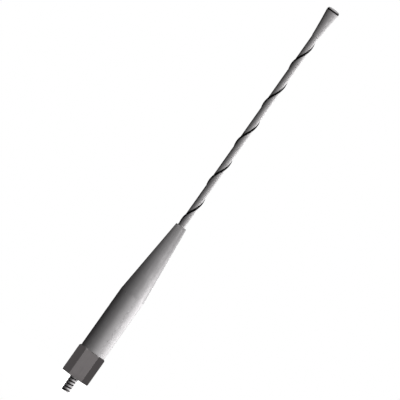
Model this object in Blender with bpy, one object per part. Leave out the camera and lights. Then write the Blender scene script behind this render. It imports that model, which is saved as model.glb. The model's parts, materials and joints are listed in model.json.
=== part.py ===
"""Base-loaded mobile whip antenna with a threaded stud, a loading coil housing and a tuning tip.

Units are metres. +Z runs along the antenna to its tip. The origin is on the axis, in the seat face,
which is the underside of the hexagon. The stud points down from there.
"""

import math

import bmesh
import bpy
from mathutils import Vector

MM = 0.001

# Driving dimensions, in millimetres
STUD_R = 3.0
STUD_LENGTH = 10.7
THREAD_TURNS = 5
THREAD_DEPTH = 0.5
HEX_FLATS = 17.0
HEX_HEIGHT = 20.0
HEX_CHAMFER_R = 9.25
HEX_CHAMFER_ANGLE = 50.0
BARREL_R = 8.85
SHOULDER_Z = 64.2
CONE_MOUTH_R = 3.85
CONE_MOUTH_Z = 119.0
ROD_R = 2.3
WIRE_OUT_R = 2.9
WIRE_WIDTH = 1.3
WIRE_PITCH = 30.55
WIRE_FRONT_Z = 131.2
WIRE_BEND = 4.0
FERRULE_Z = 268.4
FERRULE_BASE_R = 2.5
FERRULE_TOP_Z = 287.6
FERRULE_TOP_R = 4.4
SEAL_RING_R = 4.35
SEAL_RING_THICKNESS = 0.7
DOME_R = 4.15
TIP_Z = 289.9

# Clearances and small edges, in millimetres
GAP = 0.3
CLOSE = 0.15
EDGE = 0.3
CUT_PAST = 1.0

# Seals, in millimetres
SEAL_SECTION_R = 0.55
SEAL_GROOVE_DEPTH = 1.35
SEAL_GROOVE_HALF = 1.0
BASE_SEAL_Z = 23.0
CONE_SEAL_Z = 61.0
SEAT_SEAL_SECTION_R = 0.85
SEAT_SEAL_Z = 0.65
SEAT_GROOVE_R = (4.6, 6.9)
SEAT_GROOVE_Z = 1.8
MOUTH_SEAL_Z = 111.5

# Housing walls and bores, in millimetres
SHELL_WALL = 1.5
BARREL_BORE_R = BARREL_R - SHELL_WALL
SPIGOT_R = BARREL_BORE_R - GAP
SPIGOT_TOP_Z = 28.0
STUD_SHANK_Z = 11.7
SKIRT_Z = 58.0
SKIRT_WALL = 1.9
SKIRT_BORE_R = SPIGOT_R - SKIRT_WALL
CONE_BORE_Z = (68.0, 84.0, 108.0)
MOUTH_BORE_R = 3.4

# Loading coil and its terminals, in millimetres
TERMINAL_R = 3.0
TERMINAL_HOLE_Z = 14.0
FORMER_R = 4.4
FORMER_BORE_R = 3.5
FORMER_Z = (31.6, 64.0)
PLUG_R = FORMER_BORE_R - GAP
PLUG_LENGTH = 6.4
LOWER_FLANGE_R = 5.6
UPPER_FLANGE_R = 4.9
UPPER_FLANGE_TOP_Z = 67.0
SOCKET_R = 4.6
SOCKET_FLOOR_Z = 70.0
SOCKET_TOP_Z = 82.0
COIL_R = 5.35
COIL_WIRE_R = 0.45
COIL_PITCH = 3.0
COIL_Z = (37.2, 57.0)
PIN_R = 0.75
PIN_INSET = 3.2
PIN_Z = {"lower": FORMER_Z[0] + PIN_INSET, "upper": FORMER_Z[1] - PIN_INSET}

# Whip foot and its lock nut, in millimetres
STEM_R = 2.5
WASHER_R = 4.4
WASHER_THICKNESS = 0.9
NUT_FLATS = 8.0
NUT_HEIGHT = 2.7
SLEEVE_R = 3.4
SLEEVE_Z = 86.6
ROD_SOCKET_Z = 89.0
FOOT_TOP_Z = 104.0

# Inside of the tip, in millimetres
NECK_R = 1.6
NECK_TOP_Z = 277.9
FERRULE_STEP_Z = 278.6
INSERT_R = 2.6
INSERT_Z = (279.6, 286.8)
SCREW_R = 1.5
SCREW_Z = 278.5
DOME_Z = FERRULE_TOP_Z + 2 * CLOSE + SEAL_RING_THICKNESS
DOME_SOCKET_DEPTH = 0.9
DOME_RIM = 0.25

# Sides of round pieces
ROUND = 36
INNER = 24


def clear_scene():
    for obj in list(bpy.data.objects):
        bpy.data.objects.remove(obj, do_unlink=True)


def material(name, colour, roughness, metallic):
    mat = bpy.data.materials.new(name)
    mat.use_nodes = True
    shader = mat.node_tree.nodes["Principled BSDF"]
    shader.inputs["Base Color"].default_value = (*colour, 1.0)
    shader.inputs["Roughness"].default_value = roughness
    shader.inputs["Metallic"].default_value = metallic
    return mat


def add_object(name, bm, mat, parent=None, smooth_angle=35.0):
    """Turn a bmesh in millimetres, in the part's frame, into a node on its parent's origin."""
    bmesh.ops.recalc_face_normals(bm, faces=bm.faces)
    bmesh.ops.scale(bm, vec=(MM, MM, MM), verts=bm.verts)
    if parent is not None:
        bmesh.ops.translate(bm, vec=-parent.location, verts=bm.verts)
    mesh = bpy.data.meshes.new(name)
    bm.to_mesh(mesh)
    bm.free()
    if mat is not None:
        mesh.materials.append(mat)
    mesh.shade_smooth()
    mesh.set_sharp_from_angle(angle=math.radians(smooth_angle))
    obj = bpy.data.objects.new(name, mesh)
    bpy.context.scene.collection.objects.link(obj)
    obj.parent = parent
    return obj


def add_axis(name, z):
    """An empty on the antenna's axis, which the pieces of a moving body hang on."""
    empty = bpy.data.objects.new(name, None)
    empty.location = (0.0, 0.0, z * MM)
    bpy.context.scene.collection.objects.link(empty)
    return empty


def circle(radius, z, segments):
    """Points of a circle about the axis. A radius of 0 gives the one point on the axis."""
    if radius == 0.0:
        return [(0.0, 0.0, z)]
    points = []
    for i in range(segments):
        angle = math.tau * i / segments
        points.append((radius * math.cos(angle), radius * math.sin(angle), z))
    return points


def turned(outline, segments):
    """Turn a closed outline of (radius, z) points about the axis."""
    bm = bmesh.new()
    rings = [[bm.verts.new(point) for point in circle(radius, z, segments)] for radius, z in outline]
    for lower, upper in zip(rings, rings[1:] + rings[:1]):
        join_rings(bm, lower, upper)
    return bm


def join_rings(bm, lower, upper):
    """Quads between two rings, or triangles where one of them is a single point."""
    count = max(len(lower), len(upper))
    if count == 1:
        return
    for i in range(count):
        j = (i + 1) % count
        if len(lower) == 1:
            bm.faces.new((lower[0], upper[j], upper[i]))
        elif len(upper) == 1:
            bm.faces.new((lower[i], lower[j], upper[0]))
        else:
            bm.faces.new((lower[i], lower[j], upper[j], upper[i]))


def swept(sections):
    """Join a list of closed sections, each a list of points, into one capped solid."""
    bm = bmesh.new()
    rings = [[bm.verts.new(point) for point in section] for section in sections]
    for lower, upper in zip(rings, rings[1:]):
        join_rings(bm, lower, upper)
    bm.faces.new(list(reversed(rings[0])))
    bm.faces.new(rings[-1])
    return bm


def prism(points, z0, z1):
    """Extrude a flat outline of (x, y) points from z0 to z1."""
    return swept([[(x, y, z) for x, y in points] for z in (z0, z1)])


def hexagon(flats):
    """Corners of a hexagon with one pair of flats facing -Y and +Y."""
    corner_r = flats / math.sqrt(3.0)
    return [
        (corner_r * math.cos(math.tau * i / 6), corner_r * math.sin(math.tau * i / 6))
        for i in range(6)
    ]


def torus(ring_r, section_r, z, segments=28, sides=8):
    outline = []
    for i in range(sides):
        angle = math.tau * (i + 0.5) / sides
        outline.append((ring_r + section_r * math.cos(angle), z + section_r * math.sin(angle)))
    return turned(outline, segments)


def cutter(name, bm):
    """A guide solid that only cuts another piece."""
    obj = add_object(name, bm, None)
    obj.hide_render = True
    obj.display_type = "WIRE"
    return obj


def boolean(obj, guide, operation):
    mod = obj.modifiers.new(guide.name, "BOOLEAN")
    mod.object = guide
    mod.operation = operation
    mod.solver = "EXACT"


def cross_cylinder(radius, half_length, z, segments=12):
    """A cylinder along X through the axis at height z."""
    sections = []
    for x in (-half_length, half_length):
        ring = []
        for i in range(segments):
            angle = math.tau * i / segments
            ring.append((x, radius * math.cos(angle), z + radius * math.sin(angle)))
        sections.append(ring)
    return swept(sections)


def cone_outer_r(z):
    share = (z - SHOULDER_Z) / (CONE_MOUTH_Z - SHOULDER_Z)
    return BARREL_R + share * (CONE_MOUTH_R - BARREL_R)


def ferrule_outer_r(z):
    """The flare opens slowly at first and then runs straight to the top."""
    share = (z - FERRULE_Z) / (FERRULE_TOP_Z - FERRULE_Z)
    return FERRULE_BASE_R + (FERRULE_TOP_R - FERRULE_BASE_R) * (0.25 * share * share + 0.75 * share)


def wire_angle(z):
    """Angle of the spiral wire about the axis. It crosses the -Y side going from -X to +X as it rises."""
    return -math.pi / 2 + math.tau * (z - WIRE_FRONT_Z) / WIRE_PITCH


def wound_angle(z):
    """The wire's angle: a straight run up to the cone's mouth, then one bend into the full pitch."""
    share = min(1.0, max(0.0, (z - CONE_MOUTH_Z) / WIRE_BEND))
    if share == 1.0:
        return wire_angle(z)
    return wire_angle(CONE_MOUTH_Z + WIRE_BEND / 2 * (1.0 + share * share))


# Base

def make_stud(mat):
    """A right-hand thread: the radius follows the angle and the height. The free end has a nose."""
    segments = 20
    rows_per_turn = 6
    rows = THREAD_TURNS * rows_per_turn
    start_turn = 0.25
    nose_length = 0.8
    nose_depth = 0.7
    sections = []
    for row in range(rows + 1):
        z = -STUD_LENGTH + STUD_LENGTH * row / rows
        nose = nose_depth * max(0.0, 1.0 - (z + STUD_LENGTH) / nose_length)
        section = []
        for i in range(segments):
            turn = i / segments
            crest = 0.5 + 0.5 * math.cos(math.tau * (row / rows_per_turn - turn - start_turn))
            radius = STUD_R - max(nose, THREAD_DEPTH * (1.0 - crest ** 0.8))
            angle = math.tau * turn
            section.append((radius * math.cos(angle), radius * math.sin(angle), z))
        sections.append(section)
    sections.append(circle(STUD_R, CLOSE, segments))
    sections.append(circle(STUD_R, STUD_SHANK_Z - EDGE, segments))
    sections.append(circle(STUD_R - EDGE, STUD_SHANK_Z, segments))
    return add_object("mounting_stud", swept(sections), mat, smooth_angle=60.0)


def round_cutter(radius, z0, z1):
    """A plain cylinder on the axis, for a bore."""
    return turned([(0.0, z0), (radius, z0), (radius, z1), (0.0, z1)], INNER)


def make_hex_base(mat):
    """A hexagon with its top corners turned off, a grooved spigot, and blind holes for stud and coil."""
    base = add_object("hex_base", prism(hexagon(HEX_FLATS), 0.0, HEX_HEIGHT), mat)
    rise = math.tan(math.radians(HEX_CHAMFER_ANGLE))
    outer_r = HEX_FLATS / math.sqrt(3.0) + CUT_PAST
    envelope = turned(
        [
            (0.0, -CUT_PAST),
            (outer_r, -CUT_PAST),
            (outer_r, HEX_HEIGHT - (outer_r - HEX_CHAMFER_R) * rise),
            (HEX_CHAMFER_R - CUT_PAST, HEX_HEIGHT + CUT_PAST * rise),
            (0.0, HEX_HEIGHT + CUT_PAST * rise),
        ],
        ROUND,
    )
    boolean(base, cutter("hex_corner_guide", envelope), "INTERSECT")
    groove_r = SPIGOT_R - SEAL_GROOVE_DEPTH
    spigot = turned(
        [
            (0.0, HEX_HEIGHT - CUT_PAST),
            (SPIGOT_R, HEX_HEIGHT - CUT_PAST),
            (SPIGOT_R, BASE_SEAL_Z - SEAL_GROOVE_HALF),
            (groove_r, BASE_SEAL_Z - SEAL_GROOVE_HALF),
            (groove_r, BASE_SEAL_Z + SEAL_GROOVE_HALF),
            (SPIGOT_R, BASE_SEAL_Z + SEAL_GROOVE_HALF),
            (SPIGOT_R, SPIGOT_TOP_Z - EDGE),
            (SPIGOT_R - EDGE, SPIGOT_TOP_Z),
            (0.0, SPIGOT_TOP_Z),
        ],
        ROUND,
    )
    boolean(base, cutter("spigot_guide", spigot), "UNION")
    stud_hole = round_cutter(STUD_R + GAP, -CUT_PAST, STUD_SHANK_Z + GAP)
    boolean(base, cutter("stud_hole_guide", stud_hole), "DIFFERENCE")
    terminal_hole = round_cutter(TERMINAL_R + GAP, TERMINAL_HOLE_Z, SPIGOT_TOP_Z + CUT_PAST)
    boolean(base, cutter("terminal_hole_guide", terminal_hole), "DIFFERENCE")
    inner_r, outer_r = SEAT_GROOVE_R
    seat_groove = turned(
        [(inner_r, -CUT_PAST), (outer_r, -CUT_PAST), (outer_r, SEAT_GROOVE_Z), (inner_r, SEAT_GROOVE_Z)],
        INNER,
    )
    boolean(base, cutter("seat_groove_guide", seat_groove), "DIFFERENCE")
    return base


def make_round_seals(mat):
    """The seat's O-ring stands proud of the seat face, and the other two fill the spigots' grooves."""
    seat_ring_r = sum(SEAT_GROOVE_R) / 2
    spigot_ring_r = BARREL_BORE_R - CLOSE - SEAL_SECTION_R
    add_object("seat_seal", torus(seat_ring_r, SEAT_SEAL_SECTION_R, SEAT_SEAL_Z), mat)
    add_object("base_seal", torus(spigot_ring_r, SEAL_SECTION_R, BASE_SEAL_Z), mat)
    add_object("cone_seal", torus(spigot_ring_r, SEAL_SECTION_R, CONE_SEAL_Z), mat)


# Housing

def make_barrel(mat):
    z0 = HEX_HEIGHT + CLOSE
    z1 = SHOULDER_Z - CLOSE / 2
    outline = [
        (BARREL_BORE_R, z0),
        (BARREL_R - EDGE, z0),
        (BARREL_R, z0 + EDGE),
        (BARREL_R, z1),
        (BARREL_BORE_R, z1),
    ]
    return add_object("coil_barrel", turned(outline, ROUND), mat)


def make_cone(mat):
    """The skirt pushes into the barrel and carries a seal. Above it the wall follows the taper."""
    z0 = SHOULDER_Z + CLOSE / 2
    groove_r = SPIGOT_R - SEAL_GROOVE_DEPTH
    outline = [
        (SKIRT_BORE_R, SKIRT_Z),
        (SPIGOT_R, SKIRT_Z),
        (SPIGOT_R, CONE_SEAL_Z - SEAL_GROOVE_HALF),
        (groove_r, CONE_SEAL_Z - SEAL_GROOVE_HALF),
        (groove_r, CONE_SEAL_Z + SEAL_GROOVE_HALF),
        (SPIGOT_R, CONE_SEAL_Z + SEAL_GROOVE_HALF),
        (SPIGOT_R, z0),
        (BARREL_R, z0),
        (CONE_MOUTH_R, CONE_MOUTH_Z - EDGE),
        (CONE_MOUTH_R - EDGE, CONE_MOUTH_Z),
        (MOUTH_BORE_R, CONE_MOUTH_Z),
        (MOUTH_BORE_R, CONE_BORE_Z[2]),
        (cone_outer_r(CONE_BORE_Z[1]) - SHELL_WALL, CONE_BORE_Z[1]),
        (SKIRT_BORE_R, CONE_BORE_Z[0]),
    ]
    return add_object("taper_cone", turned(outline, ROUND), mat)


def make_mouth_seal(mat):
    """A sleeve with one open slot on the far side, where the wire runs through."""
    inner_r = ROD_R + CLOSE
    outer_r = MOUTH_BORE_R - CLOSE
    slot_half = math.asin((WIRE_WIDTH / 2 + GAP) / inner_r)
    centre = wound_angle(CONE_MOUTH_Z)
    steps = 22
    outline = []
    for radius, order in ((outer_r, range(steps + 1)), (inner_r, range(steps, -1, -1))):
        for i in order:
            angle = centre + slot_half + (math.tau - 2 * slot_half) * i / steps
            outline.append((radius * math.cos(angle), radius * math.sin(angle)))
    return add_object("mouth_seal", prism(outline, MOUTH_SEAL_Z, CONE_MOUTH_Z - GAP), mat)


# Loading coil

def cut_pin_holes(obj, *ends):
    for end in ends:
        hole = cross_cylinder(PIN_R + GAP, FORMER_R + CUT_PAST, PIN_Z[end])
        boolean(obj, cutter(f"{obj.name}_{end}_hole_guide", hole), "DIFFERENCE")


def make_lower_terminal(mat):
    shank_z = TERMINAL_HOLE_Z + GAP
    flange = (SPIGOT_TOP_Z + GAP, FORMER_Z[0] - GAP)
    plug_top_z = FORMER_Z[0] + PLUG_LENGTH
    outline = [
        (0.0, shank_z),
        (TERMINAL_R - EDGE, shank_z),
        (TERMINAL_R, shank_z + EDGE),
        (TERMINAL_R, flange[0]),
        (LOWER_FLANGE_R, flange[0]),
        (LOWER_FLANGE_R, flange[1]),
        (PLUG_R, flange[1]),
        (PLUG_R, plug_top_z - EDGE),
        (PLUG_R - EDGE, plug_top_z),
        (0.0, plug_top_z),
    ]
    terminal = add_object("lower_terminal", turned(outline, INNER), mat)
    cut_pin_holes(terminal, "lower")
    return terminal


def make_upper_terminal(mat):
    plug_z = FORMER_Z[1] - PLUG_LENGTH
    flange = (FORMER_Z[1] + GAP, UPPER_FLANGE_TOP_Z)
    outline = [
        (0.0, plug_z),
        (PLUG_R - EDGE, plug_z),
        (PLUG_R, plug_z + EDGE),
        (PLUG_R, flange[0]),
        (UPPER_FLANGE_R, flange[0]),
        (UPPER_FLANGE_R, flange[1]),
        (SOCKET_R, flange[1]),
        (SOCKET_R, SOCKET_TOP_Z - EDGE),
        (SOCKET_R - EDGE, SOCKET_TOP_Z),
        (STEM_R + GAP, SOCKET_TOP_Z),
        (STEM_R + GAP, SOCKET_FLOOR_Z),
        (0.0, SOCKET_FLOOR_Z),
    ]
    terminal = add_object("upper_terminal", turned(outline, INNER), mat)
    cut_pin_holes(terminal, "upper")
    return terminal


def make_former(mat):
    outline = [
        (FORMER_BORE_R, FORMER_Z[0]),
        (FORMER_R, FORMER_Z[0]),
        (FORMER_R, FORMER_Z[1]),
        (FORMER_BORE_R, FORMER_Z[1]),
    ]
    former = add_object("coil_former", turned(outline, INNER), mat)
    cut_pin_holes(former, "lower", "upper")
    return former


def make_pins(mat):
    for end, z in PIN_Z.items():
        add_object(f"{end}_pin", cross_cylinder(PIN_R, FORMER_R, z, segments=10), mat)


def make_coil(mat):
    """An open helix of round wire that starts above the lower pin and ends below the upper one."""
    z0, z1 = COIL_Z
    steps_per_turn = 14
    sides = 6
    steps = round((z1 - z0) / COIL_PITCH * steps_per_turn)
    up = Vector((0.0, 0.0, 1.0))
    sections = []
    for step in range(steps + 1):
        angle = math.tau * step / steps_per_turn
        outward = Vector((math.cos(angle), math.sin(angle), 0.0))
        centre = outward * COIL_R + up * (z0 + (z1 - z0) * step / steps)
        ring = []
        for side in range(sides):
            turn = math.tau * side / sides
            ring.append(centre + (outward * math.cos(turn) + up * math.sin(turn)) * COIL_WIRE_R)
        sections.append(ring)
    return add_object("loading_coil", swept(sections), mat, smooth_angle=80.0)


# Whip

def make_whip_foot(mat):
    stem_z = SOCKET_FLOOR_Z + GAP
    outline = [
        (0.0, stem_z),
        (STEM_R - EDGE, stem_z),
        (STEM_R, stem_z + EDGE),
        (STEM_R, SLEEVE_Z),
        (SLEEVE_R, SLEEVE_Z),
        (SLEEVE_R, FOOT_TOP_Z - EDGE),
        (SLEEVE_R - EDGE, FOOT_TOP_Z),
        (ROD_R + GAP, FOOT_TOP_Z),
        (ROD_R + GAP, ROD_SOCKET_Z),
        (0.0, ROD_SOCKET_Z),
    ]
    return add_object("whip_foot", turned(outline, INNER), mat)


def make_lock_washer(mat):
    bore_r = STEM_R + GAP
    z0 = SOCKET_TOP_Z + GAP
    z1 = z0 + WASHER_THICKNESS
    outline = [(bore_r, z0), (WASHER_R, z0), (WASHER_R, z1), (bore_r, z1)]
    return add_object("lock_washer", turned(outline, INNER), mat)


def make_lock_nut(mat):
    z0 = SOCKET_TOP_Z + GAP + WASHER_THICKNESS + GAP
    z1 = z0 + NUT_HEIGHT
    nut = add_object("lock_nut", prism(hexagon(NUT_FLATS), z0, z1), mat)
    bore = round_cutter(STEM_R + GAP, z0 - CUT_PAST, z1 + CUT_PAST)
    boolean(nut, cutter("nut_bore_guide", bore), "DIFFERENCE")
    return nut


def make_rod(mat):
    """The rod is thinner inside the tip, where the ferrule is crimped on it."""
    foot_z = ROD_SOCKET_Z + GAP
    step_z = FERRULE_Z - CLOSE
    outline = [
        (0.0, foot_z),
        (ROD_R, foot_z),
        (ROD_R, step_z),
        (NECK_R, step_z),
        (NECK_R, NECK_TOP_Z),
        (0.0, NECK_TOP_Z),
    ]
    return add_object("whip_rod", turned(outline, INNER), mat)


def make_wire(mat):
    """The wire lies on the rod. It runs straight inside the cone and starts to wind at the cone's mouth."""
    half = WIRE_WIDTH / 2
    inner_r = ROD_R + CLOSE
    middle_r = (inner_r + WIRE_OUT_R) / 2
    profile = [
        (-1.0, inner_r),
        (1.0, inner_r),
        (0.95, middle_r),
        (0.4, WIRE_OUT_R),
        (-0.4, WIRE_OUT_R),
        (-0.95, middle_r),
    ]
    z0 = FOOT_TOP_Z + GAP
    z1 = FERRULE_Z - GAP - CLOSE
    steps = 118
    sections = []
    for step in range(steps + 1):
        z = z0 + (z1 - z0) * step / steps
        angle = wound_angle(z)
        slope = (wound_angle(z + 0.1) - wound_angle(z - 0.1)) / 0.2
        tilt = math.atan(slope * middle_r)
        ring = []
        for side, radius in profile:
            along = side * half * math.cos(tilt) / middle_r
            rise = -side * half * math.sin(tilt)
            ring.append((radius * math.cos(angle + along), radius * math.sin(angle + along), z + rise))
        sections.append(ring)
    return add_object("radiator_wire", swept(sections), mat, smooth_angle=80.0)


# Tip

def make_ferrule(mat):
    """Its bore is wide above for the insert, and narrow below, round the rod's neck."""
    heights = 5
    outline = []
    for i in range(heights + 1):
        z = FERRULE_Z + (FERRULE_TOP_Z - FERRULE_Z) * i / heights
        outline.append((ferrule_outer_r(z), z))
    outline += [
        (INSERT_R + GAP, FERRULE_TOP_Z),
        (INSERT_R + GAP, FERRULE_STEP_Z),
        (NECK_R + GAP, FERRULE_STEP_Z),
        (NECK_R + GAP, FERRULE_Z),
    ]
    return add_object("tip_ferrule", turned(outline, ROUND), mat)


def make_tip_insert(mat):
    bore_r = SCREW_R + GAP
    z0, z1 = INSERT_Z
    outline = [(bore_r, z0), (INSERT_R, z0), (INSERT_R, z1), (bore_r, z1)]
    return add_object("tip_insert", turned(outline, INNER), mat)


def make_tip_seal(mat, parent):
    bore_r = SCREW_R + GAP
    z0 = FERRULE_TOP_Z + CLOSE
    z1 = z0 + SEAL_RING_THICKNESS
    bulge = 0.15
    outline = [
        (bore_r, z0),
        (SEAL_RING_R - bulge, z0),
        (SEAL_RING_R, (z0 + z1) / 2),
        (SEAL_RING_R - bulge, z1),
        (bore_r, z1),
    ]
    return add_object("tip_seal", turned(outline, ROUND), mat, parent)


def make_dome(mat, parent):
    socket_r = SCREW_R + CLOSE
    rim_z = DOME_Z + DOME_RIM
    steps = 5
    outline = [(socket_r, DOME_Z), (DOME_R, DOME_Z)]
    for i in range(steps):
        angle = math.pi / 2 * i / steps
        outline.append((DOME_R * math.cos(angle), rim_z + (TIP_Z - rim_z) * math.sin(angle)))
    outline += [(0.0, TIP_Z), (0.0, DOME_Z + DOME_SOCKET_DEPTH), (socket_r, DOME_Z + DOME_SOCKET_DEPTH)]
    return add_object("tip_dome", turned(outline, ROUND), mat, parent)


def make_tuning_screw(mat, parent):
    top_z = DOME_Z + DOME_SOCKET_DEPTH - CLOSE
    outline = [
        (0.0, SCREW_Z),
        (SCREW_R - EDGE, SCREW_Z),
        (SCREW_R, SCREW_Z + EDGE),
        (SCREW_R, top_z),
        (0.0, top_z),
    ]
    return add_object("tuning_screw", turned(outline, INNER), mat, parent)


def main():
    clear_scene()
    nickel = material("satin_nickel", (0.42, 0.42, 0.43), 0.35, 0.9)
    dark_nickel = material("dark_nickel", (0.16, 0.16, 0.165), 0.5, 0.8)
    steel = material("stud_steel", (0.45, 0.45, 0.45), 0.35, 1.0)
    brass = material("plain_brass", (0.72, 0.55, 0.26), 0.35, 1.0)
    copper = material("enamelled_copper", (0.6, 0.24, 0.1), 0.3, 1.0)
    rubber = material("black_rubber", (0.03, 0.03, 0.03), 0.8, 0.0)
    fibre = material("coil_fibre", (0.6, 0.56, 0.42), 0.5, 0.0)
    rod = material("grey_rod", (0.45, 0.45, 0.46), 0.35, 0.3)
    dark_wire = material("dark_wire", (0.03, 0.03, 0.03), 0.4, 0.2)
    cap = material("cap_plastic", (0.5, 0.5, 0.5), 0.4, 0.0)

    make_stud(steel)
    make_hex_base(dark_nickel)
    make_round_seals(rubber)
    make_barrel(nickel)
    make_cone(nickel)
    make_mouth_seal(rubber)

    make_lower_terminal(brass)
    make_upper_terminal(brass)
    make_former(fibre)
    make_pins(steel)
    make_coil(copper)

    make_whip_foot(brass)
    make_lock_washer(steel)
    make_lock_nut(steel)
    make_rod(rod)
    make_wire(dark_wire)

    make_ferrule(nickel)
    make_tip_insert(brass)
    tip_axis = add_axis("tip_axis", FERRULE_TOP_Z)
    make_tip_seal(rubber, tip_axis)
    make_tuning_screw(steel, tip_axis)
    make_dome(cap, tip_axis)


main()
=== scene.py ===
"""Looks of the base-loaded whip antenna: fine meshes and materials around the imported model.

Lengths are in metres unless a name ends in _MM. +Z runs along the antenna to its tip, and -Y faces
the camera.
"""

import json
import math

import bmesh
import bpy
from mathutils import Matrix, Vector


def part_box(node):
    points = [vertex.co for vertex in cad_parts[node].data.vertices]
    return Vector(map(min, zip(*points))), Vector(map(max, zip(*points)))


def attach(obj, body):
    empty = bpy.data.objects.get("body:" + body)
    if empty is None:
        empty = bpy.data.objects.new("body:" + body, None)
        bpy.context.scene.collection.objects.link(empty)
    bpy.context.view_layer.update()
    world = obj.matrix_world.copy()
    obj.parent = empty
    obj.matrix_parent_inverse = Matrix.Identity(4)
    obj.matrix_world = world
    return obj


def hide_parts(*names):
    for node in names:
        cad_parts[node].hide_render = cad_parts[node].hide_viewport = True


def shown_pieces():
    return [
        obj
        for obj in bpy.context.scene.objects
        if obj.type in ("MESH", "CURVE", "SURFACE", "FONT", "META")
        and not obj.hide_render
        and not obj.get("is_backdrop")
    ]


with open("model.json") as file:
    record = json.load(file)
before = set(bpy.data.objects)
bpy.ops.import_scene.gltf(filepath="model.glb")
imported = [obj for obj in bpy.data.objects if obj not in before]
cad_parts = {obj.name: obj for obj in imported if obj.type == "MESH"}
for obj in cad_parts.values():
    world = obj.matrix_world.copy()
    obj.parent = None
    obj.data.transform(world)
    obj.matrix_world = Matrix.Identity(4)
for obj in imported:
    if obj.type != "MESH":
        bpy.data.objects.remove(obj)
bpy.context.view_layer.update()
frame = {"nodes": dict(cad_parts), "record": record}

MM = 0.001

# Camera
LEAN = math.radians(35.24)
AZIMUTH = math.radians(-2.5)
LENS = 1000.0
SENSOR = 36.0
VIEW_WIDTH = 0.2574
VIEW_CENTRE_Z = 0.1398

# Floor
FLOOR_RADIUS = 0.6
FLOOR_GAP = 0.0003

# Light. A lamp's strength is the radiance of a white matt surface that faces it.
BACKDROP = 1.0
AMBIENT = 0.004
SIDE_ELEVATION = 8.0
# Azimuth and strength. Azimuth 0 is the camera's side and 90 is +X.
UPRIGHT_LAMPS = ((0.0, 0.08), (25.0, 0.1), (45.0, 0.13), (85.0, 0.39), (125.0, 0.47), (172.0, 0.4))
# The fill for the far side, which gives no highlights
FILL_AZIMUTH = 205.0
FILL_STRENGTH = 0.12
TAPER_LAMPS = ((45.0, 0.172), (125.0, 0.117), (172.0, 0.4))
# Azimuth, height, distance and strength of the small lamps that stand near the cone
TAPER_NEAR_LAMPS = ((-60.0, 0.16, 0.08, 0.135), (0.0, 0.1, 0.08, 0.123), (90.0, 0.06, 0.1, 0.474))
# Azimuth, elevation and strength
FOOT_LAMPS = ((-50.0, 5.0, 0.3), (0.0, 5.0, 0.26), (45.0, 30.0, 0.43), (180.0, 8.0, 0.3))
END_LAMPS = ((0.0, 10.0, 0.35), (40.0, 70.0, 0.45), (180.0, 10.0, 0.2))
NEAR_LAMP_SIZE = 0.06
# The floor has one lamp above it and one below it
FLOOR_LAMP_AZIMUTH = 20.0
FLOOR_LAMP_ELEVATIONS = (80.0, -80.0)
FLOOR_LAMP_STRENGTH = 3.0
FLOOR_LAMP_SIZE = 1.0
FLOOR_LAMP_DISTANCE = 2.0

# Clearances and walls, in millimetres. Where the CAD keeps CLOSE_MM between two pieces that are
# pressed together, the fine meshes leave only a seam.
CLOSE_MM = 0.15
GAP_MM = 0.3
SEAM_MM = 0.03
SHELL_WALL_MM = 1.5
SEAL_GROOVE_DEPTH_MM = 1.35
SEAL_GROOVE_HALF_MM = 1.0
SEAT_GROOVE_R_MM = (4.6, 6.9)
SEAT_GROOVE_Z_MM = 1.8

# Shapes that the frame's boxes don't give. Angles are in degrees.
THREAD_TURNS = 5
THREAD_DEPTH_MM = 0.3
THREAD_ROWS_PER_TURN = 32
THREAD_NOSE_MM = 0.2
CHAMFER_R_MM = 9.25
CHAMFER_ANGLE = 50.0
CHAMFER_BLEND_MM = 0.12
CHAMFER_HEIGHT_MM = 1.8
CHAMFER_ROWS = 26
FLAT_ROWS = 6
HEX_CORNER_MM = 0.1
CONE_MOUTH_R_MM = 3.85
CONE_BORE_R_MM = 3.4
CONE_BORE_Z_MM = (68.0, 84.0, 108.0)
SKIRT_WALL_MM = 1.9
WIRE_PITCH_MM = 30.55
WIRE_FRONT_Z_MM = 131.2
WIRE_WIDTH_MM = 1.3
WIRE_BEND_MM = 4.0
WIRE_SEAT_MM = 0.02
NECK_R_MM = 1.6
FERRULE_BASE_R_MM = 2.5
FERRULE_STEP_Z_MM = 278.6
SCREW_PITCH_MM = 0.5
SCREW_THREAD_MM = 0.3
SCREW_ROWS_PER_TURN = 12
SCREW_NOSE_MM = 0.3
SCREW_PLAIN_MM = 0.4
SCREW_RUNOUT_MM = 0.1
DOME_RIM_MM = 0.25
DOME_SOCKET_DEPTH_MM = 0.9

# How far a thread's root reaches to each side of its middle, as a share of a turn
THREAD_ROOT_SHARE = 0.27
SCREW_ROOT_SHARE = 0.42
# The wire's underside is this share of its width, and its back is a curve of this power
WIRE_UNDERSIDE = 0.86
WIRE_BACK_POWER = 0.8
# The part of the flare's opening that grows with the square of the height
FLARE_CURVE = 0.25
# An ellipse has a power of 1, and a lower one is flatter on top
DOME_POWER = 0.75
# The blue of a grey, next to its green
GREY_BLUE = 1.012


# Mesh tools

def finish_mesh(name, bm, mat, smooth_angle=32.0):
    """A bmesh in millimetres becomes an object in metres."""
    bmesh.ops.remove_doubles(bm, verts=bm.verts, dist=1e-5)
    bmesh.ops.recalc_face_normals(bm, faces=bm.faces)
    bmesh.ops.scale(bm, vec=(MM, MM, MM), verts=bm.verts)
    mesh = bpy.data.meshes.new(name)
    bm.to_mesh(mesh)
    bm.free()
    mesh.materials.append(mat)
    mesh.shade_smooth()
    mesh.set_sharp_from_angle(angle=math.radians(smooth_angle))
    obj = bpy.data.objects.new(name, mesh)
    bpy.context.scene.collection.objects.link(obj)
    return obj


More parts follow.
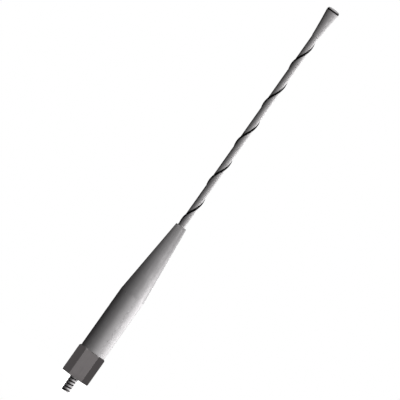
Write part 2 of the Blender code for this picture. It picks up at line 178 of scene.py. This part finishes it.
def bridge(bm, lower, upper):
    """Quads between two rings of the same length, or a fan where one ring is a single point."""
    count = max(len(lower), len(upper))
    if count == 1:
        return
    for i in range(count):
        j = (i + 1) % count
        if len(lower) == 1:
            bm.faces.new((lower[0], upper[j], upper[i]))
        elif len(upper) == 1:
            bm.faces.new((lower[i], lower[j], upper[0]))
        else:
            bm.faces.new((lower[i], lower[j], upper[j], upper[i]))


def loft(rings):
    """Rings of points joined in order. An end that isn't a single point is capped with one face."""
    bm = bmesh.new()
    made = [[bm.verts.new(point) for point in ring] for ring in rings]
    for lower, upper in zip(made, made[1:]):
        bridge(bm, lower, upper)
    for ring in (made[0], made[-1]):
        if len(ring) > 2:
            bm.faces.new(ring)
    return bm


def circle(radius, z, segments):
    if radius == 0.0:
        return [(0.0, 0.0, z)]
    return [
        (radius * math.cos(math.tau * i / segments), radius * math.sin(math.tau * i / segments), z)
        for i in range(segments)
    ]


def turned(outline, segments=96):
    """A closed outline of (radius, z) turned about the axis."""
    rings = [circle(radius, z, segments) for radius, z in outline]
    bm = bmesh.new()
    made = [[bm.verts.new(point) for point in ring] for ring in rings]
    for lower, upper in zip(made, made[1:] + made[:1]):
        bridge(bm, lower, upper)
    return bm


def arc(centre, radius, start, end, steps):
    """Points on an arc in the (radius, z) plane, with angles in degrees."""
    points = []
    for i in range(steps + 1):
        angle = math.radians(start + (end - start) * i / steps)
        points.append((centre[0] + radius * math.cos(angle), centre[1] + radius * math.sin(angle)))
    return points


def run(start, end, steps):
    """Evenly spaced points from start to end, without the end."""
    return [
        (start[0] + (end[0] - start[0]) * i / steps, start[1] + (end[1] - start[1]) * i / steps)
        for i in range(steps)
    ]


def span_mm(node):
    """A CAD node's greatest radius, lowest z and highest z, in millimetres."""
    low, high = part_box(node)
    return max(high.x, high.y) / MM, low.z / MM, high.z / MM


def seal_groove(seal, spigot_r):
    """Outline points of the square groove that a round seal sits in, from the spigot's wall and back."""
    _, low, high = span_mm(seal)
    middle = (low + high) / 2
    groove_r = spigot_r - SEAL_GROOVE_DEPTH_MM
    z0 = middle - SEAL_GROOVE_HALF_MM
    z1 = middle + SEAL_GROOVE_HALF_MM
    return [(spigot_r, z0), (groove_r, z0), (groove_r, z1), (spigot_r, z1)]


# Material tools

class Nodes:
    """Short calls that add linked nodes to one material."""

    def __init__(self, name):
        self.material = bpy.data.materials.new(name)
        self.material.use_nodes = True
        self.tree = self.material.node_tree
        self.shader = self.tree.nodes["Principled BSDF"]
        self.place = self.add("ShaderNodeTexCoord").outputs["Object"]

    def add(self, kind, inputs=None, **settings):
        node = self.tree.nodes.new(kind)
        for key, value in settings.items():
            setattr(node, key, value)
        for key, value in (inputs or {}).items():
            self.link(value, node.inputs[key])
        return node

    def link(self, value, socket):
        if isinstance(value, bpy.types.NodeSocket):
            self.tree.links.new(value, socket)
        else:
            socket.default_value = value

    def math(self, operation, a, b=0.0, clamp=False):
        node = self.add("ShaderNodeMath", {0: a, 1: b}, operation=operation)
        node.use_clamp = clamp
        return node.outputs[0]

    def noise(self, scale, stretch=(1.0, 1.0, 1.0), detail=3.0, roughness=0.5):
        mapped = self.add("ShaderNodeMapping", {"Vector": self.place, "Scale": stretch}).outputs[0]
        inputs = {"Vector": mapped, "Scale": scale, "Detail": detail, "Roughness": roughness}
        return self.add("ShaderNodeTexNoise", inputs).outputs["Fac"]

    def spread(self, value, low, high, to_low, to_high):
        inputs = {"Value": value, "From Min": low, "From Max": high, "To Min": to_low, "To Max": to_high}
        return self.add("ShaderNodeMapRange", inputs).outputs["Result"]

    def vary(self, noise, to_low, to_high):
        """The usual range of a noise, spread over two values."""
        return self.spread(noise, 0.3, 0.7, to_low, to_high)

    def mix(self, share, a, b):
        node = self.add("ShaderNodeMix", data_type="RGBA")
        self.link(share, node.inputs["Factor"])
        self.link(a, node.inputs[6])
        self.link(b, node.inputs[7])
        return node.outputs[2]

    def edges(self, low=0.52, high=0.62):
        """How far a point lies on an outer edge, from 0 to 1."""
        pointiness = self.add("ShaderNodeNewGeometry").outputs["Pointiness"]
        return self.spread(pointiness, low, high, 0.0, 1.0)

    def radius(self):
        """Distance from the antenna's axis in metres."""
        parts = self.add("ShaderNodeSeparateXYZ", {0: self.place})
        square_x = self.math("MULTIPLY", parts.outputs[0], parts.outputs[0])
        square_y = self.math("MULTIPLY", parts.outputs[1], parts.outputs[1])
        return self.math("SQRT", self.math("ADD", square_x, square_y))

    def bump(self, height, strength, distance=0.00005):
        inputs = {"Height": height, "Strength": strength, "Distance": distance}
        self.link(self.add("ShaderNodeBump", inputs).outputs[0], self.shader.inputs["Normal"])

    def set(self, **values):
        for key, value in values.items():
            self.link(value, self.shader.inputs[key.replace("_", " ").title()])
        return self.material


def grey(value, warmth=0.03):
    """A grey with a little more red than green."""
    return (value * (1.0 + warmth), value, value * GREY_BLUE, 1.0)


def satin_metal(name, tone, metallic, roughness, specular=0.5):
    """Lathe-turned metal: fine rings round the axis, soft blotches and brighter edges."""
    nodes = Nodes(name)
    rings = nodes.noise(1.0, (60.0, 60.0, 9000.0), detail=4.0, roughness=0.65)
    broad = nodes.noise(140.0, detail=2.0)
    fine = nodes.noise(2600.0, detail=2.0)
    shade = nodes.mix(nodes.vary(rings, 0.0, 1.0), grey(tone * 0.93), grey(tone * 1.05))
    shade = nodes.mix(nodes.spread(broad, 0.4, 0.75, 0.0, 0.5), shade, grey(tone * 0.9))
    shade = nodes.mix(nodes.math("MULTIPLY", nodes.edges(), 0.35), shade, grey(min(1.0, tone * 1.35)))
    rough = nodes.math("ADD", nodes.vary(broad, roughness - 0.04, roughness + 0.05),
                       nodes.vary(fine, -0.02, 0.02))
    nodes.bump(nodes.math("ADD", rings, nodes.math("MULTIPLY", fine, 0.3)), 0.05, 0.00001)
    nodes.shader.inputs["Specular IOR Level"].default_value = specular
    return nodes.set(base_color=shade, metallic=metallic, roughness=rough)


def dark_plating(name, tone, warmth):
    """Drawn hexagon bar under a dark plating: fine lines along its length, and lighter edges that are
    partly rubbed plating and partly a painted highlight.
    """
    nodes = Nodes(name)
    drawn = nodes.noise(1.0, (3500.0, 3500.0, 90.0), detail=4.0, roughness=0.6)
    broad = nodes.noise(220.0, detail=3.0)
    speckle = nodes.noise(5200.0, detail=2.0)
    lines = nodes.vary(drawn, 0.0, 1.0)
    shade = nodes.mix(lines, grey(tone * 0.94, warmth), grey(tone * 1.06, warmth))
    shade = nodes.mix(nodes.spread(broad, 0.45, 0.8, 0.0, 0.5), shade, grey(tone * 0.95, warmth))
    # Lighter edges: rubbed plating, with a painted highlight along the bevels
    wear_and_bevel_highlight = nodes.math("MULTIPLY", nodes.edges(0.51, 0.6), 0.4)
    shade = nodes.mix(wear_and_bevel_highlight, shade, grey(tone * 1.5, warmth))
    rough = nodes.math("ADD", nodes.vary(broad, 0.54, 0.58),
                       nodes.vary(speckle, -0.03, 0.03))
    nodes.bump(nodes.math("ADD", drawn, nodes.math("MULTIPLY", speckle, 0.5)), 0.15, 0.00002)
    return nodes.set(base_color=shade, metallic=0.25, roughness=rough)


def threaded_zinc(name, root_mm, crest_mm, root_shade_tone=0.006, crest_tone=0.95):
    """Plated thread whose roots are painted near black as shade, with bright, smoother crests."""
    nodes = Nodes(name)
    height = nodes.spread(nodes.radius(), root_mm * MM, crest_mm * MM, 0.0, 1.0)
    thread_noise = nodes.noise(1800.0, detail=3.0)
    height = nodes.math("ADD", height, nodes.vary(thread_noise, -0.12, 0.12), clamp=True)
    # Painted shade: near black in the thread's roots, the bright plating on its crests
    shade = nodes.mix(height, grey(root_shade_tone), grey(crest_tone))
    rough = nodes.spread(height, 0.0, 1.0, 0.6, 0.32)
    nodes.bump(thread_noise, 0.1, 0.00002)
    return nodes.set(base_color=shade, metallic=0.5, roughness=rough)


def lacquered_rod(name, tone):
    """Pultruded glass fibre under grey lacquer: long fibres just showing, with a soft gloss."""
    nodes = Nodes(name)
    fibres = nodes.noise(1.0, (5200.0, 5200.0, 60.0), detail=4.0, roughness=0.6)
    broad = nodes.noise(160.0, detail=2.0)
    shade = nodes.mix(nodes.vary(fibres, 0.0, 1.0), grey(tone * 0.9), grey(tone * 1.08))
    shade = nodes.mix(nodes.spread(broad, 0.45, 0.8, 0.0, 0.4), shade, grey(tone * 0.88))
    nodes.bump(fibres, 0.03, 0.00001)
    nodes.shader.inputs["Specular IOR Level"].default_value = 0.3
    rough = nodes.vary(broad, 0.42, 0.52)
    return nodes.set(base_color=shade, metallic=0.1, roughness=rough)


def black_enamel(name):
    nodes = Nodes(name)
    fine = nodes.noise(2400.0, detail=3.0)
    shade = nodes.mix(nodes.spread(fine, 0.35, 0.7, 0.0, 1.0), grey(0.004), grey(0.01))
    nodes.bump(fine, 0.12, 0.00003)
    nodes.shader.inputs["Specular IOR Level"].default_value = 0.12
    return nodes.set(base_color=shade, roughness=nodes.vary(fine, 0.55, 0.65))


def rubber(name, tone=0.02):
    nodes = Nodes(name)
    grain = nodes.noise(4200.0, detail=3.0)
    dust = nodes.noise(700.0, detail=3.0)
    shade = nodes.mix(nodes.spread(dust, 0.45, 0.75, 0.0, 1.0), grey(tone), grey(tone * 2.2))
    nodes.bump(grain, 0.25, 0.00003)
    nodes.shader.inputs["Specular IOR Level"].default_value = 0.2
    return nodes.set(base_color=shade, roughness=nodes.vary(grain, 0.68, 0.82))


def moulded_plastic(name, tone):
    nodes = Nodes(name)
    grain = nodes.noise(3600.0, detail=2.0)
    broad = nodes.noise(260.0, detail=2.0)
    shade = nodes.mix(nodes.spread(broad, 0.35, 0.7, 0.0, 1.0), grey(tone * 0.94), grey(tone * 1.05))
    shade = nodes.mix(nodes.math("MULTIPLY", nodes.edges(), 0.3), shade, grey(min(1.0, tone * 1.3)))
    nodes.bump(grain, 0.12, 0.00002)
    return nodes.set(base_color=shade, roughness=nodes.vary(broad, 0.36, 0.46))


def turned_colour(name, dark, light, metallic, roughness):
    """A coloured metal or board with fine lines round its axis."""
    nodes = Nodes(name)
    lines = nodes.noise(1.0, (80.0, 80.0, 7000.0), detail=4.0, roughness=0.6)
    broad = nodes.noise(300.0, detail=3.0)
    shade = nodes.mix(nodes.vary(lines, 0.0, 1.0), (*dark, 1.0), (*light, 1.0))
    shade = nodes.mix(nodes.spread(broad, 0.5, 0.8, 0.0, 0.5), shade, (*dark, 1.0))
    nodes.bump(lines, 0.15, 0.00002)
    return nodes.set(base_color=shade, metallic=metallic,
                     roughness=nodes.vary(broad, roughness - 0.06, roughness + 0.06))


MATERIALS = {
    "housing": satin_metal("satin_nickel", 0.8, 0.25, 0.5),
    "hex_base": dark_plating("dark_plating", 0.2, 0.09),
    "chamfer": satin_metal("turned_chamfer", 0.45, 0.3, 0.5),
    "stud": threaded_zinc("zinc_stud", 2.88, 2.99),
    "screw": threaded_zinc("zinc_screw", 1.22, 1.46, 0.08, 0.7),
    "rod": lacquered_rod("rod_lacquer", 0.67),
    "wire": black_enamel("black_enamel"),
    "rubber": rubber("black_rubber"),
    "tip": satin_metal("tip_nickel", 0.8, 0.05, 0.6, 0.2),
    "cap": moulded_plastic("cap_plastic", 0.6),
    "brass": turned_colour("turned_brass", (0.55, 0.36, 0.12), (0.8, 0.6, 0.27), 1.0, 0.32),
    "copper": turned_colour("enamelled_copper", (0.42, 0.12, 0.04), (0.66, 0.25, 0.1), 0.9, 0.28),
    "former": turned_colour("glass_filled_board", (0.42, 0.38, 0.24), (0.6, 0.56, 0.4), 0.0, 0.55),
    "fastener": turned_colour("zinc_plate", (0.5, 0.5, 0.52), (0.72, 0.72, 0.74), 1.0, 0.34),
}


def place(obj, body, node):
    """A fine mesh rides a body and stands in for a CAD node."""
    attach(obj, body)
    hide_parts(node)
    return obj


# Base

def threaded_rings(crest_r, depth, pitch, low, high, root_share, rows_per_turn, segments, nose):
    """Rings of a right-hand thread whose radius follows angle and height. The low end has a turned nose."""
    rows = round((high - low) / pitch * rows_per_turn)
    start_turn = 0.25
    rings = []
    for row in range(rows + 1):
        z = low + (high - low) * row / rows
        tip = nose * max(0.0, 1.0 - (z - low) / nose)
        ring = []
        for i in range(segments):
            turn = i / segments
            phase = ((z - low) / pitch - turn - start_turn) % 1.0
            reach = max(0.0, 1.0 - abs(phase - 0.5) / root_share)
            cut = depth * (3.0 - 2.0 * reach) * reach * reach
            radius = crest_r - max(cut, tip)
            angle = math.tau * turn
            ring.append((radius * math.cos(angle), radius * math.sin(angle), z))
        rings.append(ring)
    return rings


def make_stud():
    crest_r, low, top = span_mm("mounting_stud")
    segments = 96
    pitch = -low / THREAD_TURNS
    rings = [circle(0.0, low, segments)]
    rings += threaded_rings(crest_r, THREAD_DEPTH_MM, pitch, low, 0.0, THREAD_ROOT_SHARE,
                            THREAD_ROWS_PER_TURN, segments, THREAD_NOSE_MM)
    rings += [circle(crest_r, CLOSE_MM, segments), circle(crest_r, top - GAP_MM, segments)]
    rings += [circle(crest_r - GAP_MM, top, segments), circle(0.0, top, segments)]
    stud = finish_mesh("threaded_stud", loft(rings), MATERIALS["stud"], smooth_angle=50.0)
    return place(stud, "antenna", "mounting_stud")


def hex_outline(flats_r, corner_round, per_face=20, per_corner=6):
    """Angles and radii of a hexagon with rounded corners, flats facing -Y and +Y."""
    points = []
    corner_r = flats_r / math.cos(math.pi / 6)
    inset = corner_round / math.cos(math.pi / 6)
    for face in range(6):
        corner_angle = math.tau * face / 6
        centre = Vector((math.cos(corner_angle), math.sin(corner_angle))) * (corner_r - inset)
        for i in range(per_corner + 1):
            angle = corner_angle + math.radians(-30.0 + 60.0 * i / per_corner)
            points.append(centre + Vector((math.cos(angle), math.sin(angle))) * corner_round)
        following = math.tau * (face + 1) / 6
        next_centre = Vector((math.cos(following), math.sin(following))) * (corner_r - inset)
        turn = corner_angle + math.radians(30.0)
        outward = Vector((math.cos(turn), math.sin(turn))) * corner_round
        start = centre + outward
        end = next_centre + outward
        for i in range(1, per_face):
            points.append(start.lerp(end, i / per_face))
    return [(math.atan2(p.y, p.x), p.length) for p in points]


def soft_min(a, b, blend):
    """The lesser of two lengths, with the corner between them rounded over a short blend."""
    near = max(0.0, 1.0 - abs(a - b) / blend)
    return min(a, b) - blend * near * near * 0.25


def make_hex_base():
    """The hexagon with its top corners turned off, the seat's groove, and the grooved spigot."""
    flats_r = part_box("hex_base")[1].y / MM
    spigot_top = span_mm("hex_base")[2]
    barrel_r, barrel_low, _ = span_mm("coil_barrel")
    shoulder = barrel_low - CLOSE_MM
    spigot_r = barrel_r - SHELL_WALL_MM - GAP_MM
    stud_r, _, stud_top = span_mm("mounting_stud")
    hole_r = stud_r + GAP_MM
    stud_hole_top = stud_top + GAP_MM
    terminal_hole_z = span_mm("lower_terminal")[1] - GAP_MM
    outline = hex_outline(flats_r, HEX_CORNER_MM)
    rise = math.tan(math.radians(CHAMFER_ANGLE))

    def hex_ring(z, shrink=0.0):
        limit = CHAMFER_R_MM + (shoulder - z) / rise
        ring = []
        for angle, radius in outline:
            r = soft_min(radius, limit, CHAMFER_BLEND_MM) - shrink
            ring.append((r * math.cos(angle), r * math.sin(angle), z))
        return ring

    def round_ring(radius, z):
        return [(radius * math.cos(angle), radius * math.sin(angle), z) for angle, _ in outline]

    edge = 0.1
    groove_in, groove_out = SEAT_GROOVE_R_MM
    rings = [[(0.0, 0.0, stud_hole_top)], round_ring(hole_r, stud_hole_top)]
    rings += [round_ring(hole_r, GAP_MM), round_ring(hole_r + GAP_MM, 0.0)]
    rings += [round_ring(groove_in, 0.0), round_ring(groove_in, SEAT_GROOVE_Z_MM)]
    rings += [round_ring(groove_out, SEAT_GROOVE_Z_MM), round_ring(groove_out, 0.0)]
    for i in range(5):
        angle = math.pi / 2 * i / 4
        rings.append(hex_ring(edge - edge * math.cos(angle), edge - edge * math.sin(angle)))
    chamfer_low = shoulder - CHAMFER_HEIGHT_MM
    for i in range(1, FLAT_ROWS + 1):
        rings.append(hex_ring(edge + (chamfer_low - edge) * i / FLAT_ROWS))
    for i in range(1, CHAMFER_ROWS + 1):
        rings.append(hex_ring(chamfer_low + (shoulder - chamfer_low) * i / CHAMFER_ROWS))
    rings += [round_ring(flats_r - GAP_MM, shoulder), round_ring(spigot_r, shoulder)]
    rings += [round_ring(radius, z) for radius, z in seal_groove("base_seal", spigot_r)]
    rings += [round_ring(spigot_r, spigot_top - GAP_MM), round_ring(spigot_r - GAP_MM, spigot_top)]
    rings += [round_ring(hole_r, spigot_top), round_ring(hole_r, terminal_hole_z)]
    rings += [[(0.0, 0.0, terminal_hole_z)]]
    base = finish_mesh("hexagon_base", loft(rings), MATERIALS["hex_base"], smooth_angle=34.0)
    base.data.materials.append(MATERIALS["chamfer"])
    for face in base.data.polygons:
        if face.normal.z > 0.4 and chamfer_low * MM < face.center.z:
            face.material_index = 1
    return place(base, "antenna", "hex_base")


# Housing

def make_barrel():
    outer, low, high = span_mm("coil_barrel")
    low -= CLOSE_MM - SEAM_MM
    high += (CLOSE_MM - SEAM_MM) / 2
    bore = outer - SHELL_WALL_MM
    foot_edge = 0.08
    top_edge = 0.04
    outline = [(bore, low), (outer - foot_edge, low)]
    outline += arc((outer - foot_edge, low + foot_edge), foot_edge, -90.0, 0.0, 5)[1:]
    outline += run((outer, low + 1.0), (outer, high - top_edge), 14)
    outline += [(outer, high - top_edge), (outer - top_edge, high), (bore, high)]
    outline += run((bore, high - 1.0), (bore, low + 1.0), 4)
    barrel = finish_mesh("barrel_shell", turned(outline, 128), MATERIALS["housing"])
    return place(barrel, "antenna", "coil_barrel")


def make_cone():
    """The taper, with its skirt and seal groove inside the barrel and its bore round the whip's foot."""
    outer, skirt_z, mouth_z = span_mm("taper_cone")
    shoulder = span_mm("coil_barrel")[2] + (CLOSE_MM + SEAM_MM) / 2
    skirt_r = outer - SHELL_WALL_MM - GAP_MM
    skirt_bore = skirt_r - SKIRT_WALL_MM
    foot_edge = 0.04
    edge = 0.1
    lip = 0.2

    def wall(z):
        return outer + (z - shoulder) / (mouth_z - shoulder) * (CONE_MOUTH_R_MM - outer)

    outline = [(skirt_bore, skirt_z), (skirt_r, skirt_z)]
    outline += seal_groove("cone_seal", skirt_r)
    outline += [(skirt_r, shoulder), (outer - foot_edge, shoulder), (outer, shoulder + foot_edge)]
    outline += [(wall(z), z) for _, z in run((0.0, shoulder + 1.0), (0.0, mouth_z - lip), 35)]
    outline += arc((CONE_MOUTH_R_MM - lip, mouth_z - lip), lip, 0.0, 90.0, 4)
    outline += [(CONE_BORE_R_MM + edge, mouth_z), (CONE_BORE_R_MM, mouth_z - edge)]
    low_z, middle_z, high_z = CONE_BORE_Z_MM
    outline += [(CONE_BORE_R_MM, high_z), (wall(middle_z) - SHELL_WALL_MM, middle_z), (skirt_bore, low_z)]
    cone = finish_mesh("cone_shell", turned(outline, 128), MATERIALS["housing"])
    return place(cone, "antenna", "taper_cone")


# Whip

def make_rod():
    """The rod, with the neck that the ferrule is crimped on."""
    outer, low, high = span_mm("whip_rod")
    step_z = span_mm("tip_ferrule")[1] - SEAM_MM
    edge = 0.05
    outline = [(0.0, low), (outer - edge, low), (outer, low + edge)]
    outline += run((outer, low + 2.0), (outer, step_z - edge), 40)
    outline += [(outer, step_z - edge), (outer - edge, step_z)]
    outline += [(NECK_R_MM, step_z), (NECK_R_MM, high), (0.0, high)]
    rod = finish_mesh("glass_fibre_rod", turned(outline, 64), MATERIALS["rod"])
    return place(rod, "antenna", "whip_rod")


def wire_angle(z):
    """The spiral's angle. It crosses the -Y side going from -X to +X as it rises."""
    return -math.pi / 2 + math.tau * (z - WIRE_FRONT_Z_MM) / WIRE_PITCH_MM


def wound_angle(z, mouth_z):
    """A straight run up to the cone's mouth, then one bend into the full pitch."""
    share = min(1.0, max(0.0, (z - mouth_z) / WIRE_BEND_MM))
    if share == 1.0:
        return wire_angle(z)
    return wire_angle(mouth_z + WIRE_BEND_MM / 2 * (1.0 + share * share))


def make_wire():
    """The wire lies on the rod, with a rounded back and a flatter underside."""
    outer, low, high = span_mm("radiator_wire")
    seat_r = span_mm("whip_rod")[0] + WIRE_SEAT_MM
    mouth_z = span_mm("taper_cone")[2]
    half = WIRE_WIDTH_MM / 2
    steps = 1100
    sides = 14
    probe = 0.05
    rings = []
    for step in range(steps + 1):
        z = low + half + (high - low - 2 * half) * step / steps
        angle = wound_angle(z, mouth_z)
        slope = (wound_angle(z + probe, mouth_z) - wound_angle(z - probe, mouth_z)) / (2 * probe)
        tilt = math.atan(slope * seat_r)
        ring = []
        for side in range(sides):
            turn = math.tau * side / sides
            underside = WIRE_UNDERSIDE if math.sin(turn) < 0.0 else 1.0
            across = half * underside * math.cos(turn)
            radius = seat_r + (outer - seat_r) * max(0.0, math.sin(turn)) ** WIRE_BACK_POWER
            along = across * math.cos(tilt) / seat_r
            rise = -across * math.sin(tilt)
            ring.append((radius * math.cos(angle + along), radius * math.sin(angle + along), z + rise))
        rings.append(ring)
    wire = finish_mesh("spiral_wire", loft(rings), MATERIALS["wire"], smooth_angle=80.0)
    return place(wire, "antenna", "radiator_wire")


# Tip

def make_ferrule():
    """The flare opens slowly at first and then runs straight to its rounded rim."""
    outer, low, high = span_mm("tip_ferrule")
    insert_bore = span_mm("tip_insert")[0] + GAP_MM
    neck_bore = NECK_R_MM + GAP_MM
    edge = 0.1
    rim = 0.22

    def wall(z):
        share = (z - low) / (high - low)
        opening = FLARE_CURVE * share * share + (1.0 - FLARE_CURVE) * share
        return FERRULE_BASE_R_MM + (outer - FERRULE_BASE_R_MM) * opening

    outline = [(neck_bore, low), (FERRULE_BASE_R_MM - edge, low)]
    outline += [(wall(z), z) for _, z in run((0.0, low + edge), (0.0, high - rim), 24)]
    outline += arc((outer - rim, high - rim), rim, 10.0, 90.0, 5)
    outline += [(insert_bore + edge, high), (insert_bore, high - edge)]
    outline += [(insert_bore, FERRULE_STEP_Z_MM), (neck_bore, FERRULE_STEP_Z_MM)]
    ferrule = finish_mesh("flared_ferrule", turned(outline, 96), MATERIALS["tip"])
    return place(ferrule, "antenna", "tip_ferrule")


def make_tip_seal():
    outer, low, high = span_mm("tip_seal")
    low -= CLOSE_MM - SEAM_MM
    high += CLOSE_MM - SEAM_MM
    bore = span_mm("tuning_screw")[0] + GAP_MM
    edge = 0.1
    bulge = 0.22
    outline = [(bore, low + edge), (bore + edge, low)]
    outline += arc((outer - bulge, low + bulge), bulge, -90.0, 0.0, 6)
    outline += arc((outer - bulge, high - bulge), bulge, 0.0, 90.0, 6)
    outline += [(bore + edge, high), (bore, high - edge)]
    seal = finish_mesh("tip_washer_ring", turned(outline, 96), MATERIALS["rubber"])
    return place(seal, "tip_washer", "tip_seal")


def make_dome():
    """A low dome, a little flatter than an ellipse, with the screw's socket under it."""
    outer, low, high = span_mm("tip_dome")
    bore = span_mm("tuning_screw")[0] + CLOSE_MM
    socket_z = low + DOME_SOCKET_DEPTH_MM
    edge = 0.1
    steps = 22
    outline = [(bore, low), (outer - edge, low), (outer, low + edge)]
    for i in range(steps):
        angle = math.pi / 2 * i / steps
        radius = outer * math.cos(angle) ** DOME_POWER
        outline.append((radius, low + DOME_RIM_MM + (high - low - DOME_RIM_MM) * math.sin(angle)))
    outline += [(0.0, high), (0.0, socket_z), (bore, socket_z)]
    dome = finish_mesh("end_dome", turned(outline, 96), MATERIALS["cap"], smooth_angle=60.0)
    return place(dome, "tuning_tip", "tip_dome")


def make_tuning_screw():
    crest_r, low, high = span_mm("tuning_screw")
    plain_r = crest_r - SCREW_RUNOUT_MM
    thread_top = high - SCREW_PLAIN_MM
    plain_low = thread_top + SCREW_RUNOUT_MM
    segments = 48
    rings = [circle(0.0, low, segments)]
    rings += threaded_rings(crest_r, SCREW_THREAD_MM, SCREW_PITCH_MM, low, thread_top, SCREW_ROOT_SHARE,
                            SCREW_ROWS_PER_TURN, segments, SCREW_NOSE_MM)
    rings += [circle(plain_r, plain_low, segments), circle(plain_r, high, segments)]
    rings += [circle(0.0, high, segments)]
    screw = finish_mesh("tuning_thread", loft(rings), MATERIALS["screw"], smooth_angle=50.0)
    return place(screw, "tuning_tip", "tuning_screw")


# CAD nodes that stay: inner pieces with finer surfaces

def keep_inner_nodes():
    slots = {row["node"]: row["material_slot"] for row in frame["record"]["subparts"]}
    for name, obj in frame["nodes"].items():
        if obj.hide_render:
            continue
        slot = slots[name]
        obj.data.materials.clear()
        obj.data.materials.append(MATERIALS[slot])


# Stage

def make_floor():
    """A pale disc just under the stud's end. It sends no light back to the object."""
    mat = bpy.data.materials.new("pale_floor")
    mat.use_nodes = True
    shader = mat.node_tree.nodes["Principled BSDF"]
    shader.inputs["Base Color"].default_value = (0.9, 0.9, 0.9, 1.0)
    shader.inputs["Roughness"].default_value = 0.9
    bm = bmesh.new()
    bmesh.ops.create_circle(bm, cap_ends=True, segments=96, radius=FLOOR_RADIUS)
    mesh = bpy.data.meshes.new("floor")
    bm.to_mesh(mesh)
    bm.free()
    mesh.materials.append(mat)
    floor = bpy.data.objects.new("floor", mesh)
    floor.location = (0.0, 0.0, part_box("mounting_stud")[0].z - FLOOR_GAP)
    floor.visible_diffuse = False
    floor.visible_glossy = False
    bpy.context.scene.collection.objects.link(floor)
    floor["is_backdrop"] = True
    return floor


def make_world():
    """Pale all round for the camera, and a faint even light on the object."""
    world = bpy.data.worlds.new("studio")
    bpy.context.scene.world = world
    world.use_nodes = True
    tree = world.node_tree
    background = tree.nodes["Background"]
    path = tree.nodes.new("ShaderNodeLightPath")
    strength = tree.nodes.new("ShaderNodeMapRange")
    strength.inputs["To Min"].default_value = AMBIENT
    strength.inputs["To Max"].default_value = BACKDROP
    tree.links.new(path.outputs["Is Camera Ray"], strength.inputs["Value"])
    tree.links.new(strength.outputs["Result"], background.inputs["Strength"])
    background.inputs["Color"].default_value = (1.0, 1.0, 1.0, 1.0)


def soft_lamp(name, azimuth, elevation, strength, receivers, size=0.5, distance=1.3, height=0.14):
    """A square soft box that faces a point on the axis and lights one collection."""
    a = math.radians(azimuth)
    e = math.radians(elevation)
    towards = Vector((math.sin(a) * math.cos(e), -math.cos(a) * math.cos(e), math.sin(e)))
    data = bpy.data.lights.new(name, "AREA")
    data.shape = "SQUARE"
    data.size = size
    data.energy = strength * math.pi * math.pi * distance * distance
    lamp = bpy.data.objects.new(name, data)
    lamp.location = Vector((0.0, 0.0, height)) + towards * distance
    lamp.rotation_mode = "QUATERNION"
    lamp.rotation_quaternion = towards.to_track_quat("Z", "Y")
    lamp.visible_camera = False
    lamp.light_linking.receiver_collection = receivers
    bpy.context.scene.collection.objects.link(lamp)
    return lamp


def make_group(name, objects):
    """A collection that only says which objects a lamp lights, or which ones shade them."""
    group = bpy.data.collections.new(name)
    for obj in objects:
        group.objects.link(obj)
    return group


def make_lights(floor, stud, base, cone, dome):
    """Each group of pieces has its own lamps. The other pieces don't shade the stud or the floor."""
    others = [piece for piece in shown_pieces() if piece not in (stud, base, cone, dome)]
    upright = make_group("lit_upright", others)
    pin = make_group("lit_pin", [stud])
    taper = make_group("lit_taper", [cone])
    foot = make_group("lit_foot", [base])
    end = make_group("lit_end", [dome])
    ground = make_group("lit_floor", [floor])
    for elevation in FLOOR_LAMP_ELEVATIONS:
        ground_lamp = soft_lamp("floor_light", FLOOR_LAMP_AZIMUTH, elevation, FLOOR_LAMP_STRENGTH, ground,
                                FLOOR_LAMP_SIZE, FLOOR_LAMP_DISTANCE)
        ground_lamp.light_linking.blocker_collection = ground
    for azimuth, strength in UPRIGHT_LAMPS:
        soft_lamp("upright_light", azimuth, SIDE_ELEVATION, strength, upright)
        stud_lamp = soft_lamp("stud_light", azimuth, SIDE_ELEVATION, strength, pin)
        stud_lamp.light_linking.blocker_collection = pin
    fill_lamp = soft_lamp("fill_light", FILL_AZIMUTH, SIDE_ELEVATION, FILL_STRENGTH, upright)
    fill_lamp.visible_glossy = False
    for azimuth, strength in TAPER_LAMPS:
        soft_lamp("taper_light", azimuth, SIDE_ELEVATION, strength, taper)
    for azimuth, height, distance, strength in TAPER_NEAR_LAMPS:
        soft_lamp("taper_near_light", azimuth, 0.0, strength, taper, NEAR_LAMP_SIZE, distance, height)
    for azimuth, elevation, strength in FOOT_LAMPS:
        soft_lamp("foot_light", azimuth, elevation, strength, foot)
    for azimuth, elevation, strength in END_LAMPS:
        soft_lamp("end_light", azimuth, elevation, strength, end)


def make_camera():
    data = bpy.data.cameras.new("camera")
    data.lens = LENS
    data.sensor_width = SENSOR
    distance = VIEW_WIDTH * LENS / SENSOR
    data.clip_start = 1.0
    data.clip_end = 20.0
    back = Vector((math.sin(AZIMUTH), -math.cos(AZIMUTH), 0.0))
    level = Vector((math.cos(AZIMUTH), math.sin(AZIMUTH), 0.0))
    up = Vector((0.0, 0.0, 1.0))
    right = level * math.cos(LEAN) + up * math.sin(LEAN)
    top = up * math.cos(LEAN) - level * math.sin(LEAN)
    centre = up * VIEW_CENTRE_Z
    camera = bpy.data.objects.new("camera", data)
    turn = Matrix((right, top, back)).transposed()
    camera.matrix_world = Matrix.Translation(centre + back * distance) @ turn.to_4x4()
    bpy.context.scene.collection.objects.link(camera)
    bpy.context.scene.camera = camera


def main():
    scene = bpy.context.scene
    scene.view_settings.view_transform = "Standard"
    make_camera()
    make_world()
    stud = make_stud()
    base = make_hex_base()
    make_barrel()
    cone = make_cone()
    make_rod()
    make_wire()
    make_ferrule()
    make_tip_seal()
    dome = make_dome()
    make_tuning_screw()
    keep_inner_nodes()
    floor = make_floor()
    make_lights(floor, stud, base, cone, dome)


main()
